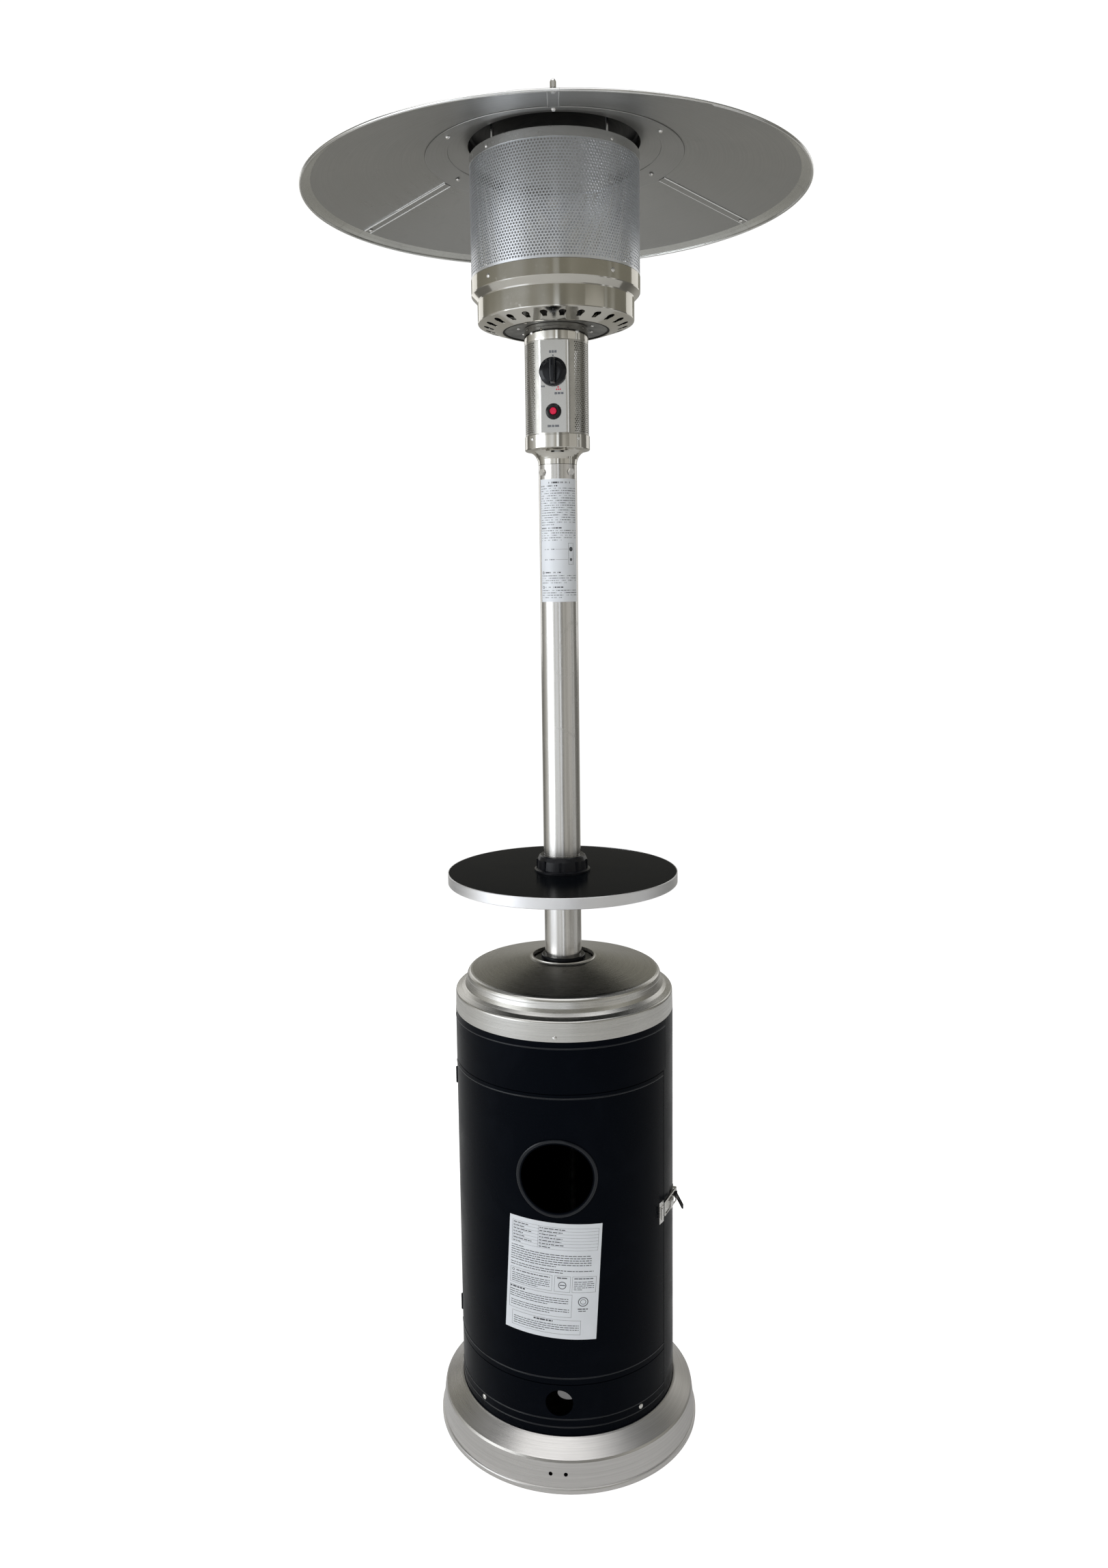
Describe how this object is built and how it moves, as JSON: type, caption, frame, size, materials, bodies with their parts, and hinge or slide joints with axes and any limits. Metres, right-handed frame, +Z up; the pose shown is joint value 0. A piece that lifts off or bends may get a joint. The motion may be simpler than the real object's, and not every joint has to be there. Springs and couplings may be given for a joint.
{
  "type": "patio heater",
  "caption": "Tall gas patio heater: round base, cylinder housing with a hinged door, sliding round table, slim post, burner head and wide reflector hood.",
  "frame": {"origin": "centre of the base where it meets the floor", "axes": "+Z up along the post, -Y towards the front, where the controls and the door are, +X to the right as seen from the front"},
  "size_m": [0.813, 0.813, 2.203],
  "materials": {
    "brushed_stainless": "brushed stainless steel, satin",
    "polished_stainless": "polished stainless steel",
    "reflector_metal": "satin aluminium",
    "emitter_steel": "perforated stainless sheet, heat tinted",
    "black_paint": "black powder coat with a slight sheen",
    "inner_steel": "grey painted steel",
    "zinc_fastener": "zinc plated",
    "black_plastic": "black moulded plastic",
    "lever_black": "black coated steel",
    "button_red": "red plastic",
    "table_black": "smooth black laminate",
    "edge_aluminium": "bright satin aluminium",
    "label_white": "white printed film",
    "brass": "brass",
    "ceramic": "glazed ceramic"
  },
  "bodies": {
    "stand": {"base_ring": "brushed_stainless", "base_plate": "inner_steel", "support_leg_left": "inner_steel", "support_leg_back": "inner_steel", "support_leg_right": "inner_steel", "leg_bolts": "zinc_fastener", "post_bracket": "inner_steel", "post": "brushed_stainless", "post_bolts": "zinc_fastener", "post_label": "label_white", "barrel_rear": "black_paint", "barrel_top_front": "black_paint", "barrel_low_front": "black_paint", "barrel_screws": "zinc_fastener", "door_jamb": "black_paint", "hinge_leaves": "black_paint", "latch_base": "zinc_fastener", "cover_dome": "brushed_stainless", "cover_grommet": "black_plastic", "cover_rivets": "zinc_fastener", "control_cup": "polished_stainless", "housing_screen": "emitter_steel", "upper_collar": "polished_stainless", "head_screws": "zinc_fastener", "control_panel": "polished_stainless", "igniter_bezel": "black_plastic", "igniter_body": "black_plastic", "gas_valve": "brass", "gas_pipe": "brass", "hose_fitting": "brass", "mixer_tube": "inner_steel", "thermocouple": "brass", "igniter_electrode": "ceramic", "tilt_switch": "black_plastic", "burner_housing": "polished_stainless", "burner_floor": "inner_steel", "burner_head": "inner_steel", "emitter_screen": "emitter_steel", "emitter_cap": "polished_stainless", "reflector_studs": "zinc_fastener", "stud_nuts": "zinc_fastener", "reflector_crown": "reflector_metal", "reflector_panel_front": "reflector_metal", "reflector_panel_right": "reflector_metal", "reflector_panel_left": "reflector_metal", "reflector_bolts": "zinc_fastener"},
    "door": {"door": "black_paint", "door_hinges": "black_paint", "door_label": "label_white", "latch_keeper": "zinc_fastener"},
    "latch_lever": {"latch_lever": "lever_black"},
    "latch_loop": {"latch_loop": "zinc_fastener"},
    "table": {"table_top": "table_black", "table_band": "edge_aluminium", "table_hub": "black_plastic", "table_screws": "zinc_fastener"},
    "table_collar": {"table_collar": "black_plastic"},
    "knob_spindle": {"knob_spindle": "zinc_fastener"},
    "control_knob": {"control_knob": "black_plastic"},
    "igniter_button": {"igniter_button": "button_red"}
  },
  "joints": [
    {"name": "door_swing", "type": "hinge", "parent": "stand", "child": "door", "pos_m": [-0.18514, -0.03265, 0.416], "axis": [0, 0, -1], "range_deg": [0, 120]},
    {"name": "latch_lever_swing", "type": "hinge", "parent": "stand", "child": "latch_lever", "pos_m": [0.19168, -0.01408, 0.418], "axis": [0, 0, 1], "range_deg": [0, 150]},
    {"name": "latch_loop_swing", "type": "hinge", "parent": "latch_lever", "child": "latch_loop", "pos_m": [0.19391, -0.0228, 0.418], "axis": [0, 0, 1], "range_deg": [0, 60]},
    {"name": "table_slide", "type": "slide", "parent": "stand", "child": "table", "axis": [0, 0, 1], "range_m": [-0.09, 0.4]},
    {"name": "collar_turn", "type": "hinge", "parent": "table", "child": "table_collar", "pos_m": [0, 0, 1], "axis": [0, 0, 1], "range_deg": [0, 90]},
    {"name": "knob_turn", "type": "hinge", "parent": "stand", "child": "knob_spindle", "pos_m": [0, -0.06, 1.81], "axis": [0, -1, 0], "range_deg": [0, 240]},
    {"name": "knob_push", "type": "slide", "parent": "knob_spindle", "child": "control_knob", "axis": [0, 1, 0], "range_m": [0, 0.003], "stiffness_N_per_m": 800, "springref_m": -0.002},
    {"name": "igniter_press", "type": "slide", "parent": "stand", "child": "igniter_button", "axis": [0, 1, 0], "range_m": [0, 0.004], "stiffness_N_per_m": 900, "springref_m": -0.002}
  ]
}
